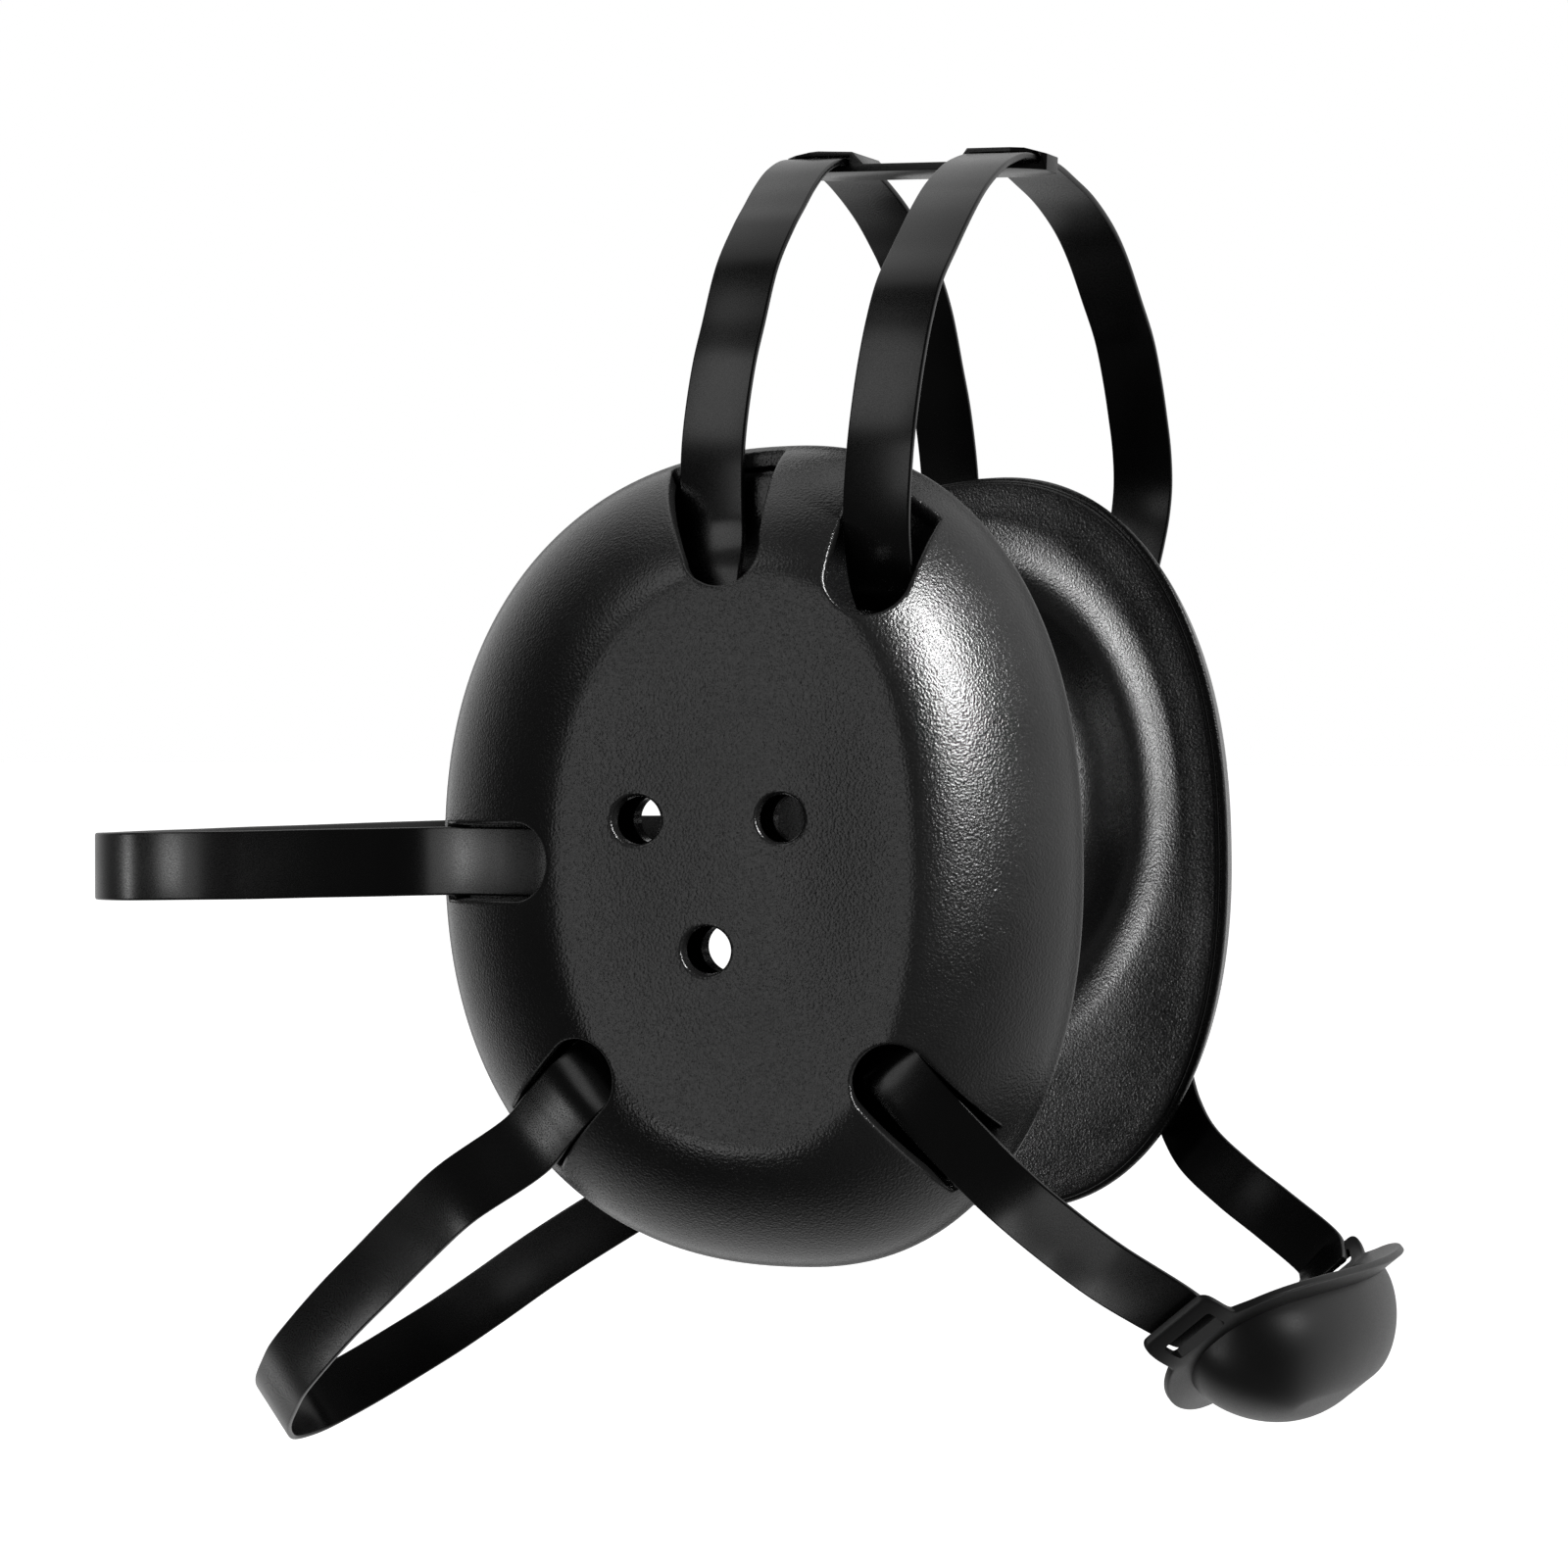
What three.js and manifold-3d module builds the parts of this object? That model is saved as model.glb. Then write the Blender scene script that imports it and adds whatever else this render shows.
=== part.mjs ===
// Wrestling ear guard: two ear cups hung on six straps, a crown bridge and a chin cup, in millimetres.
// X points to the face, Y to the wearer's left, Z up; the seat under the bridge is the origin.
import * as THREE from 'three';
import Module from 'manifold-3d';
import { mergeVertices } from 'three/addons/utils/BufferGeometryUtils.js';

const wasm = await Module();
wasm.setup();

// Ear cups
const cupHeight = 120;
const cupFront = 42.4;
const cupRear = 54.7;
const cupPower = 2.26;
const domeDepth = 22.9;
const domeRound = 19.5;
const domePower = 1.75;
const dishDepth = 1.6;
const shellWall = 2.4;
const rimBack = 1;
const cupSpread = 78.7;
const toeIn = THREE.MathUtils.degToRad(9.8);
const lean = THREE.MathUtils.degToRad(0.75);
const roll = THREE.MathUtils.degToRad(-1.04);
const cupSides = 46;

// Hearing holes, about a point behind the middle of the cup
const holeRadius = 3.5;
const holeMiddle = -7.2;
const holeReach = 10.5;
const holeSides = 14;

// Pads
const padFlange = 2.8;
const padProud = 1.4;
const padFloor = 5;
const pocketWidth = 65;
const pocketHeight = 77;
const pocketBack = 5.5;
const pocketLift = 7.5;
const pocketDepth = 11;
const pocketWall = 3;

// Straps
const strapWidth = 10.2;
const chinStrapWidth = 9.2;
const strapThick = 1;
const slotWidth = 11.2;
const gap = 0.3;

// Crown bridge
const crownRise = 104.7;
const bridgeLength = 43.6;
const bridgeMiddle = 2.8;
const bridgeDepth = 10.4;
const bridgeEnd = 4.6;
const bridgeTaper = 5;
const bridgePlate = 0.9;
const bridgeTilt = THREE.MathUtils.degToRad(2.3);
const capWall = 0.7;

// Chin cup
const chinForward = 64;
const chinDrop = 71.5;
const chinTilt = THREE.MathUtils.degToRad(40);
const chinWidth = 59.8;
const chinHeight = 28.6;
const chinDepth = 11.3;
const chinRound = 11.2;
const chinPower = 1.46;
const chinOval = 2.19;
const chinFlange = 3.6;
const chinWall = 1.8;
const chinWrap = 6.2;
const tabReach = 36.5;
const tabLift = 2.8;
const tabHeight = 13;
const tabDrop = 1;
const chinSides = 44;

// U slots in a cup: where each round end sits and where it heads, as shares of the half height,
// the height left standing as a rim bar, as a share of the dome depth, and how fast it widens
const slots = {
  crownRear: { u: -0.083, v: 0.738, headU: -0.28, headV: 1, bar: 0.08, flare: 0.2 },
  crownFront: { u: 0.27, v: 0.662, headU: 0.17, headV: 1, bar: 0.3, flare: 0.05 },
  back: { u: -0.618, v: -0.003, headU: -1, headV: 0, bar: 0.13, flare: 0 },
  nape: { u: -0.458, v: -0.52, headU: -0.757, headV: -0.654, bar: 0.26, flare: 0 },
  chin: { u: 0.318, v: -0.53, headU: 0.6, headV: -0.8, bar: 0.28, flare: 0 },
};

// Holes in a cup, as shares of the reach from the middle
const holes = [
  { u: -1, v: 0.54 },
  { u: 1, v: 0.54 },
  { u: -0.05, v: -1.24 },
];

// Half of a crown strap from the bridge down into the cup: out as a share of half the spread of the cups,
// up as a share of the way from the cup's slot to the bridge, and forward as a share of the half height
const crownFrontPath = [
  { out: 0, up: 0.9907, fore: 0.3056 },
  { out: 0.1675, up: 0.9892, fore: 0.3056 },
  { out: 0.3272, up: 0.9675, fore: 0.3107 },
  { out: 0.4842, up: 0.9367, fore: 0.321 },
  { out: 0.6727, up: 0.881, fore: 0.3296 },
  { out: 0.8062, up: 0.8239, fore: 0.333 },
  { out: 0.9816, up: 0.7281, fore: 0.333 },
  { out: 1.1308, up: 0.6401, fore: 0.333 },
  { out: 1.2224, up: 0.552, fore: 0.333 },
  { out: 1.2904, up: 0.464, fore: 0.333 },
  { out: 1.3428, up: 0.3775, fore: 0.333 },
  { out: 1.3716, up: 0.2941, fore: 0.3296 },
  { out: 1.3716, up: 0.223, fore: 0.3227 },
  { out: 1.3297, up: 0.1612, fore: 0.3141 },
  { out: 1.2433, up: 0.0963, fore: 0.3056 },
  { out: 1.1386, up: 0.0376, fore: 0.2987 },
];
const crownRearPath = [
  { out: 0, up: 1.0099, fore: -0.2094 },
  { out: 0.1675, up: 1.005, fore: -0.2094 },
  { out: 0.3272, up: 0.9701, fore: -0.2043 },
  { out: 0.479, up: 0.9154, fore: -0.194 },
  { out: 0.5994, up: 0.8574, fore: -0.1871 },
  { out: 0.7015, up: 0.8027, fore: -0.1837 },
  { out: 0.8481, up: 0.6966, fore: -0.1837 },
  { out: 0.9711, up: 0.549, fore: -0.1837 },
  { out: 1.047, up: 0.4528, fore: -0.1837 },
  { out: 1.1203, up: 0.3119, fore: -0.1837 },
  { out: 1.1465, up: 0.2157, fore: -0.1837 },
  { out: 1.1465, up: 0.1162, fore: -0.1837 },
];

// Half of the back strap from the back of the head into the cup: back, out and down, as shares of its reach
const backReach = 120.6;
const backPath = [
  { back: 1, out: 0, down: 0.022 },
  { back: 0.992, out: 0.14, down: 0.022 },
  { back: 0.967, out: 0.29, down: 0.021 },
  { back: 0.93, out: 0.43, down: 0.02 },
  { back: 0.875, out: 0.535, down: 0.018 },
  { back: 0.8, out: 0.582, down: 0.016 },
  { back: 0.72, out: 0.583, down: 0.014 },
  { back: 0.647, out: 0.554, down: 0.013 },
  { back: 0.566, out: 0.514, down: 0.011 },
  { back: 0.506, out: 0.478, down: 0.01 },
  { back: 0.46, out: 0.449, down: 0.009 },
  { back: 0.415, out: 0.433, down: 0.008 },
  { back: 0.35, out: 0.423, down: 0.008 },
];

// Half of the nape strap, in a plane that slopes down to the rear: along the slope, out and off the plane
const napeReach = 147;
const napeSlope = THREE.MathUtils.degToRad(38.3);
const napeOffset = 5.8;
const napePath = [
  { along: 1, out: 0, lift: 0 },
  { along: 0.996, out: 0.032, lift: 0 },
  { along: 0.98, out: 0.063, lift: 0 },
  { along: 0.952, out: 0.1, lift: 0 },
  { along: 0.912, out: 0.137, lift: 0 },
  { along: 0.871, out: 0.17, lift: 0 },
  { along: 0.818, out: 0.197, lift: 0 },
  { along: 0.746, out: 0.226, lift: 0 },
  { along: 0.66, out: 0.263, lift: 0.004 },
  { along: 0.573, out: 0.307, lift: 0.01 },
  { along: 0.484, out: 0.35, lift: 0.018 },
];

// A chin strap between the rim of the cup and the tab: forward, out and down, as shares of its reach
const chinReach = 60;
const chinPath = [
  { forward: 0.575, out: 0.66, down: 0.813 },
  { forward: 0.687, out: 0.64, down: 0.902 },
  { forward: 0.8, out: 0.628, down: 0.978 },
];

// Stations of a strap inside a slot: along the slot from its round end, as a share of the half height,
// and height above the rim, as a share of the dome depth
const napeInside = [
  { along: 0.275, height: 0.31 },
  { along: 0.15, height: 0.415 },
  { along: -0.0167, height: 0.262 },
];
const chinInside = [
  { along: 0.2667, height: 0.323 },
  { along: 0.15, height: 0.415 },
  { along: -0.0167, height: 0.262 },
];

const seat = new THREE.Vector3(bridgeMiddle, 0, crownRise);
const halfHeight = cupHeight / 2;
const group = new THREE.Group();
group.name = 'ear_guard';

// Closed skin over rings of equal count, fanned shut at both ends
function loft(rings) {
  const count = rings[0].length;
  const points = [];
  const faces = [];
  for (const ring of rings) {
    for (const point of ring) {
      points.push(point.x, point.y, point.z);
    }
  }
  for (let r = 0; r + 1 < rings.length; r += 1) {
    for (let i = 0; i < count; i += 1) {
      const j = (i + 1) % count;
      const a = r * count + i;
      const b = r * count + j;
      const c = a + count;
      const d = b + count;
      faces.push(a, b, d, a, d, c);
    }
  }
  const last = (rings.length - 1) * count;
  const addFan = (ring, base, turned) => {
    const middle = new THREE.Vector3();
    for (const point of ring) {
      middle.addScaledVector(point, 1 / count);
    }
    const apex = points.length / 3;
    points.push(middle.x, middle.y, middle.z);
    for (let i = 0; i < count; i += 1) {
      const j = (i + 1) % count;
      faces.push(apex, base + (turned ? j : i), base + (turned ? i : j));
    }
  };
  addFan(rings[0], 0, true);
  addFan(rings[rings.length - 1], last, false);
  const geometry = new THREE.BufferGeometry();
  geometry.setAttribute('position', new THREE.Float32BufferAttribute(points, 3));
  geometry.setIndex(faces);
  return faceOut(geometry);
}

// Turns a closed skin so that its faces look outward
function faceOut(geometry) {
  const position = geometry.getAttribute('position');
  const index = geometry.getIndex();
  let volume = 0;
  const a = new THREE.Vector3();
  const b = new THREE.Vector3();
  const c = new THREE.Vector3();
  for (let i = 0; i < index.count; i += 3) {
    a.fromBufferAttribute(position, index.getX(i));
    b.fromBufferAttribute(position, index.getX(i + 1));
    c.fromBufferAttribute(position, index.getX(i + 2));
    volume += a.dot(b.cross(c));
  }
  if (volume < 0) {
    for (let i = 0; i < index.count; i += 3) {
      const keep = index.getX(i);
      index.setX(i, index.getX(i + 1));
      index.setX(i + 1, keep);
    }
  }
  return geometry;
}

function toSolid(geometry) {
  const bare = geometry.clone();
  bare.deleteAttribute('normal');
  bare.deleteAttribute('uv');
  const merged = mergeVertices(bare, 1e-4);
  return new wasm.Manifold(new wasm.Mesh({
    numProp: 3,
    vertProperties: new Float32Array(merged.getAttribute('position').array),
    triVerts: new Uint32Array(merged.getIndex().array),
  }));
}

function toGeometry(solid) {
  const mesh = solid.getMesh();
  const geometry = new THREE.BufferGeometry();
  geometry.setAttribute('position', new THREE.BufferAttribute(new Float32Array(mesh.vertProperties), 3));
  geometry.setIndex(new THREE.BufferAttribute(new Uint32Array(mesh.triVerts), 1));
  return geometry;
}

function cut(geometry, tools) {
  let solid = toSolid(geometry);
  for (const tool of tools) {
    solid = solid.subtract(toSolid(tool));
  }
  return toGeometry(solid);
}

// Straight prism over a flat outline, from one height to another
function prism(outline, low, high) {
  const shape = new THREE.Shape(outline.map(([x, y]) => new THREE.Vector2(x, y)));
  return new THREE.ExtrudeGeometry(shape, { depth: high - low, bevelEnabled: false }).translate(0, 0, low);
}

function place(name, geometry, colour, roughness) {
  const moved = geometry.clone().translate(-seat.x, -seat.y, -seat.z);
  moved.computeVertexNormals();
  const material = new THREE.MeshStandardMaterial({ color: colour, roughness });
  const mesh = new THREE.Mesh(moved, material);
  mesh.name = name;
  group.add(mesh);
}

// The same piece on the other side of the head
function mirrored(geometry) {
  const twin = geometry.clone().scale(1, -1, 1);
  const index = twin.getIndex();
  for (let i = 0; i < index.count; i += 3) {
    const keep = index.getX(i);
    index.setX(i, index.getX(i + 1));
    index.setX(i + 1, keep);
  }
  return twin;
}

// Frame of the right cup: U toward the face, V up, W away from the head
const cupOut = new THREE.Vector3(
  Math.sin(toeIn) * Math.cos(lean),
  -Math.cos(toeIn) * Math.cos(lean),
  Math.sin(lean),
);
const flatForward = new THREE.Vector3(Math.cos(toeIn), Math.sin(toeIn), 0);
const flatUp = new THREE.Vector3().crossVectors(cupOut, flatForward).negate();
if (flatUp.z < 0) {
  flatUp.negate();
}
const cupForward = flatForward.clone().multiplyScalar(Math.cos(roll)).addScaledVector(flatUp, -Math.sin(roll));
const cupUp = flatForward.clone().multiplyScalar(Math.sin(roll)).addScaledVector(flatUp, Math.cos(roll));
const cupFrame = new THREE.Matrix4().makeBasis(cupForward, cupUp, cupOut);
cupFrame.setPosition(0, -cupSpread / 2, 0);

// Rounded outline with its own reach to the front and to the rear
function oval(angle, front, rear, half, power) {
  const c = Math.cos(angle);
  const s = Math.sin(angle);
  const reach = (Math.abs(c) ** power + Math.abs(s) ** power) ** (-1 / power);
  return [(c > 0 ? front : rear) * c * reach, half * s * reach];
}

// One ring of the dome, inset from the rim and at a height
function cupRing(wall, inset, height, share = 1) {
  const ring = [];
  const lessU = 1 - inset / (cupFront - wall);
  const lessV = 1 - inset / (halfHeight - wall);
  for (let i = 0; i < cupSides; i += 1) {
    const angle = (i / cupSides) * 2 * Math.PI;
    const [u, v] = oval(angle, cupFront - wall, cupRear - wall, halfHeight - wall, cupPower);
    ring.push(new THREE.Vector3(u * lessU * share, v * lessV * share, height));
  }
  return ring;
}

// Rings of a dome from its middle down to the rim
function domeRings(wall, steps, top, bottom) {
  const rings = [];
  const round = domeRound - wall * 0.8;
  for (const share of [0.4, 0.75]) {
    rings.push(cupRing(wall, round, top - dishDepth * (1 - share * share), share));
  }
  for (let i = steps; i >= 0; i -= 1) {
    const rise = Math.sin((i / steps) * (Math.PI / 2));
    const inset = round * (1 - Math.max(0, 1 - rise ** domePower) ** (1 / domePower));
    rings.push(cupRing(wall, inset, bottom + rise * (top - bottom)));
  }
  return rings;
}

function shellBody() {
  const outer = domeRings(0, 7, domeDepth, -rimBack);
  const inner = domeRings(shellWall, 5, domeDepth - shellWall, -rimBack);
  return loft([...outer, ...inner.reverse()]);
}

function slotAxes({ u, v, headU, headV }) {
  const heading = new THREE.Vector2(headU, headV).normalize();
  const side = new THREE.Vector2(-heading.y, heading.x);
  const middle = new THREE.Vector2(u * halfHeight, v * halfHeight);
  return { heading, side, middle };
}

// Point on the middle line of a slot of the right cup
function slotPoint(slot, along, height) {
  const { heading, middle } = slotAxes(slot);
  const point = middle.addScaledVector(heading, along * halfHeight);
  return new THREE.Vector3(point.x, point.y, height * domeDepth).applyMatrix4(cupFrame);
}

// Direction across a slot of the right cup
function slotAcross(slot) {
  const { side } = slotAxes(slot);
  return new THREE.Vector3(side.x, side.y, 0).transformDirection(cupFrame);
}

// U-shaped cutter with a round inner end, standing on the rim bar
function slotCutter(slot) {
  const { heading, side, middle } = slotAxes(slot);
  const outline = [];
  const turns = 10;
  for (let i = 0; i <= turns; i += 1) {
    const angle = (i / turns) * Math.PI;
    const point = middle.clone()
      .addScaledVector(side, Math.cos(angle) * slotWidth / 2)
      .addScaledVector(heading, -Math.sin(angle) * slotWidth / 2);
    outline.push([point.x, point.y]);
  }
  for (const hand of [-1, 1]) {
    const point = middle.clone()
      .addScaledVector(side, hand * (slotWidth / 2 + slot.flare * halfHeight))
      .addScaledVector(heading, halfHeight);
    outline.push([point.x, point.y]);
  }
  return prism(outline, slot.bar * domeDepth, domeDepth * 2);
}

function holeCutter({ u, v }) {
  const outline = [];
  for (let i = 0; i < holeSides; i += 1) {
    const angle = (i / holeSides) * 2 * Math.PI;
    outline.push([
      holeMiddle + u * holeReach + holeRadius * Math.cos(angle),
      v * holeReach + holeRadius * Math.sin(angle),
    ]);
  }
  return prism(outline, -domeDepth, domeDepth * 2);
}

// The pad: a flat ring that closes the shell, and a pocket for the ear that rises inside the dome
function padRing(inset, height) {
  return cupRing(shellWall + gap + inset, 0, height);
}

function pocketRing(grow, height) {
  const ring = [];
  for (let i = 0; i < cupSides; i += 1) {
    const angle = (i / cupSides) * 2 * Math.PI;
    const [u, v] = oval(angle, pocketWidth / 2 + grow, pocketWidth / 2 + grow, pocketHeight / 2 + grow, 2);
    ring.push(new THREE.Vector3(u - pocketBack, v + pocketLift, height));
  }
  return ring;
}

function padBody() {
  const back = -padProud;
  const floor = back + pocketDepth;
  const rings = [
    pocketRing(-pocketWidth * 0.33, floor + padFloor),
    pocketRing(-pocketWidth * 0.17 + pocketWall, floor + padFloor),
    pocketRing(-pocketWidth * 0.09 + pocketWall, floor + padFloor - 1.6),
    pocketRing(pocketWall * 0.4, back + padFlange + 1.5),
    pocketRing(pocketWall, back + padFlange),
    padRing(1.6, back + padFlange),
    padRing(0.1, back + padFlange * 0.6),
    padRing(0.5, back + 0.3),
    padRing(1.8, back),
    pocketRing(2, back),
    pocketRing(0, back + 0.5),
    pocketRing(-2.2, back + 2.4),
    pocketRing(-pocketWidth * 0.11, floor - 2),
    pocketRing(-pocketWidth * 0.2, floor - 0.3),
    pocketRing(-pocketWidth * 0.34, floor),
  ];
  return loft(rings);
}

const slotTools = Object.values(slots).map(slotCutter);
const holeTools = holes.map(holeCutter);
const shell = cut(shellBody(), [...slotTools, ...holeTools]).applyMatrix4(cupFrame);
const pad = cut(padBody(), holeTools).applyMatrix4(cupFrame);

// Flat strap carried along a smooth path, its width set by a direction at every station
function strap(path, widths, steps, wide = strapWidth) {
  const curve = new THREE.CatmullRomCurve3(path, false, 'centripetal');
  const across = new THREE.CatmullRomCurve3(widths, false, 'centripetal');
  const rings = [];
  for (let i = 0; i <= steps; i += 1) {
    const share = i / steps;
    const centre = curve.getPoint(share);
    const along = curve.getTangent(share).normalize();
    const side = across.getPoint(share);
    side.addScaledVector(along, -side.dot(along)).normalize();
    const out = new THREE.Vector3().crossVectors(along, side);
    const corner = (a, b) => centre.clone()
      .addScaledVector(side, a * wide / 2)
      .addScaledVector(out, b * strapThick / 2);
    rings.push([corner(1, 1), corner(-1, 1), corner(-1, -1), corner(1, -1)]);
  }
  return loft(rings);
}

// Whole loop from half a table: the other half is its twin across the head
function bothHalves(half) {
  const far = half.slice(1).map((point) => new THREE.Vector3(point.x, -point.y, point.z));
  return [...half.reverse(), ...far];
}

function crownStrap(table, slot) {
  const low = slot.v * halfHeight;
  const rise = crownRise + bridgePlate + gap + strapThick / 2 - low;
  const half = table.map(({ out, up, fore }) => (
    new THREE.Vector3(fore * halfHeight, -out * cupSpread / 2, low + up * rise)
  ));
  const path = bothHalves(half);
  const level = new THREE.Vector3(Math.cos(bridgeTilt), 0, -Math.sin(bridgeTilt));
  return strap(path, path.map(() => level), 46);
}

function backStrap() {
  const half = backPath.map(({ back, out, down }) => (
    new THREE.Vector3(-back, -out, -down).multiplyScalar(backReach)
  ));
  const path = bothHalves(half);
  return strap(path, path.map(() => new THREE.Vector3(0, 0, 1)), 50);
}

function napeStrap() {
  const down = new THREE.Vector3(-Math.cos(napeSlope), 0, -Math.sin(napeSlope));
  const off = new THREE.Vector3(Math.sin(napeSlope), 0, -Math.cos(napeSlope));
  const half = napePath.map(({ along, out, lift }) => new THREE.Vector3(0, -out * napeReach, 0)
    .addScaledVector(down, along * napeReach)
    .addScaledVector(off, napeOffset + lift * napeReach));
  const widths = half.map(() => off);
  for (const { along, height } of napeInside) {
    half.push(slotPoint(slots.nape, along, height));
    widths.push(slotAcross(slots.nape));
  }
  if (slotAcross(slots.nape).dot(off) < 0) {
    for (const width of widths.slice(-napeInside.length)) {
      width.negate();
    }
  }
  return strap(bothHalves(half), bothHalves(widths), 52);
}

function chinStrap() {
  const half = chinPath.map(({ forward, out, down }) => (
    new THREE.Vector3(forward, -out, -down).multiplyScalar(chinReach)
  ));
  const widths = half.map(() => new THREE.Vector3(0.6, 0, 0.8));
  for (const past of [1, 0.75, 0.52]) {
    half.push(behindTab(past));
    widths.push(chinUp);
  }
  for (const { along, height } of chinInside) {
    half.unshift(slotPoint(slots.chin, along, height));
    const width = slotAcross(slots.chin);
    widths.unshift(width.z < 0 ? width.negate() : width);
  }
  return strap(half, widths, 26, chinStrapWidth);
}

// Bridge: a side outline with two strap windows, carried across the crown and narrowed at both ends
function bridgeBody() {
  const end = bridgeLength / 2;
  const roofLow = bridgePlate + strapThick + gap * 2;
  const roofHigh = roofLow + capWall;
  const half = strapWidth / 2 + gap;
  const front = crownFrontPath[0].fore * halfHeight - bridgeMiddle;
  const rear = crownRearPath[0].fore * halfHeight - bridgeMiddle;
  const outline = [
    [-end, 0],
    [end, 0],
    [end, roofLow],
    [front + half * 0.6, roofHigh],
    [front - half - capWall * 0.6, roofHigh],
    [front - half - capWall * 1.8, roofLow - 0.5],
    [front - half - capWall * 3, bridgePlate + 0.3],
    [rear + half + capWall * 3.4, bridgePlate + 0.3],
    [rear + half + capWall * 0.6, roofHigh - 0.1],
    [rear, roofHigh + 0.1],
    [-end, roofHigh - 0.5],
  ];
  const window = (middle) => prism([
    [middle - half, bridgePlate],
    [middle + half, bridgePlate],
    [middle + half, roofLow],
    [middle - half, roofLow],
  ], -bridgeDepth, bridgeDepth);
  const plan = prism([
    [-end, -bridgeEnd / 2],
    [-end + bridgeTaper * 0.4, -bridgeDepth * 0.38],
    [-end + bridgeTaper, -bridgeDepth / 2],
    [end - bridgeTaper, -bridgeDepth / 2],
    [end - bridgeTaper * 0.4, -bridgeDepth * 0.38],
    [end, -bridgeEnd / 2],
    [end, bridgeEnd / 2],
    [end - bridgeTaper * 0.4, bridgeDepth * 0.38],
    [end - bridgeTaper, bridgeDepth / 2],
    [-end + bridgeTaper, bridgeDepth / 2],
    [-end + bridgeTaper * 0.4, bridgeDepth * 0.38],
    [-end, bridgeEnd / 2],
  ], -bridgeDepth, bridgeDepth);
  const side = cut(prism(outline, -bridgeDepth / 2, bridgeDepth / 2), [window(front), window(rear)]);
  const body = toGeometry(toSolid(side.rotateX(Math.PI / 2)).intersect(toSolid(plan)));
  return body.rotateY(bridgeTilt).translate(seat.x, seat.y, seat.z);
}

// Chin cup frame: A up along the open rim, Y across, N out of the bowl, down and forward
const chinOrigin = new THREE.Vector3(chinForward, 0, -chinDrop);
const chinUp = new THREE.Vector3(Math.cos(chinTilt), 0, Math.sin(chinTilt));
const chinOut = new THREE.Vector3(Math.sin(chinTilt), 0, -Math.cos(chinTilt));

function chinPoint(along, across, out) {
  const wrap = chinWrap * (across / tabReach) ** 2;
  const past = Math.max(0, Math.abs(across) - chinWidth / 2) / (tabReach - chinWidth / 2);
  return chinOrigin.clone()
    .addScaledVector(chinUp, along)
    .addScaledVector(chinOut, out - wrap - tabLift * past ** 2)
    .add(new THREE.Vector3(0, across, 0));
}

// Point on the strap's middle line behind the right tab, which stays clear of the tab's inner face
function behindTab(past) {
  const across = -THREE.MathUtils.lerp(chinWidth / 2, tabReach, past);
  const step = 0.01;
  const here = chinPoint(-tabDrop, across, 0);
  const tangent = chinPoint(-tabDrop, across + step, 0).sub(here).normalize();
  const normal = new THREE.Vector3().crossVectors(chinUp, tangent);
  if (normal.dot(chinOut) > 0) {
    normal.negate();
  }
  const wall = chinWall * Math.abs(normal.dot(chinOut));
  return here.addScaledVector(normal, wall + strapThick / 2 + gap * 2.5);
}

// Ring of the chin cup; the tab ring swells out to a strap tab on each side
function chinRing(grow, out, tab = false) {
  const ring = [];
  for (let i = 0; i < chinSides; i += 1) {
    const angle = ((i + 0.5) / chinSides) * 2 * Math.PI;
    const side = chinWidth / 2 + grow;
    let [across, along] = oval(angle, side, side, chinHeight / 2 + grow, chinOval);
    if (tab && Math.abs(along + tabDrop) < tabHeight / 2) {
      across = Math.sign(across) * tabReach;
    }
    ring.push(chinPoint(along, across, out));
  }
  return ring;
}

// Rings of the bowl from its middle up to the flange, for the outer or the inner skin
function bowlRings(wall, steps) {
  const round = chinRound - wall * 0.6;
  const inset = (share) => -wall - round * (1 - Math.max(0, 1 - share ** chinPower) ** (1 / chinPower));
  const rings = [];
  for (let i = steps; i >= 0; i -= 1) {
    const rise = Math.sin((i / steps) * (Math.PI / 2));
    rings.push(chinRing(inset(rise), rise * chinDepth - wall));
  }
  return rings;
}

function chinBody() {
  const outer = bowlRings(0, 6);
  const inner = bowlRings(chinWall, 5);
  const rings = [
    ...outer,
    chinRing(chinFlange, 0, true),
    chinRing(chinFlange, -chinWall, true),
    ...inner.reverse(),
  ];
  const slot = (hand) => {
    const near = hand * (chinWidth / 2 + chinFlange * 0.35);
    const far = hand * (tabReach - chinWall * 0.9);
    const half = chinStrapWidth / 2 + gap;
    const corners = [[-half, near], [half, near], [half, far], [-half, far]]
      .map(([along, across]) => [along - tabDrop, across]);
    const ring = (out) => corners.map(([along, across]) => chinPoint(along, across, out));
    return loft([ring(-chinWall * 3), ring(chinWall * 3)]);
  };
  return cut(loft(rings), [slot(-1), slot(1)]);
}

place('ear_shell_right', shell, 0x101010, 0.32);
place('ear_shell_left', mirrored(shell), 0x101010, 0.32);
place('ear_pad_right', pad, 0x141414, 0.45);
place('ear_pad_left', mirrored(pad), 0x141414, 0.45);
place('crown_strap_front', crownStrap(crownFrontPath, slots.crownFront), 0x161616, 0.5);
place('crown_strap_rear', crownStrap(crownRearPath, slots.crownRear), 0x161616, 0.5);
place('crown_bridge', bridgeBody(), 0x0c0c0c, 0.4);
place('back_strap', backStrap(), 0x161616, 0.5);
place('nape_strap', napeStrap(), 0x161616, 0.5);
const chinRight = chinStrap();
place('chin_strap_right', chinRight, 0x161616, 0.5);
place('chin_strap_left', mirrored(chinRight), 0x161616, 0.5);
place('chin_cup', chinBody(), 0x1c1c1c, 0.6);

export default group;
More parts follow.
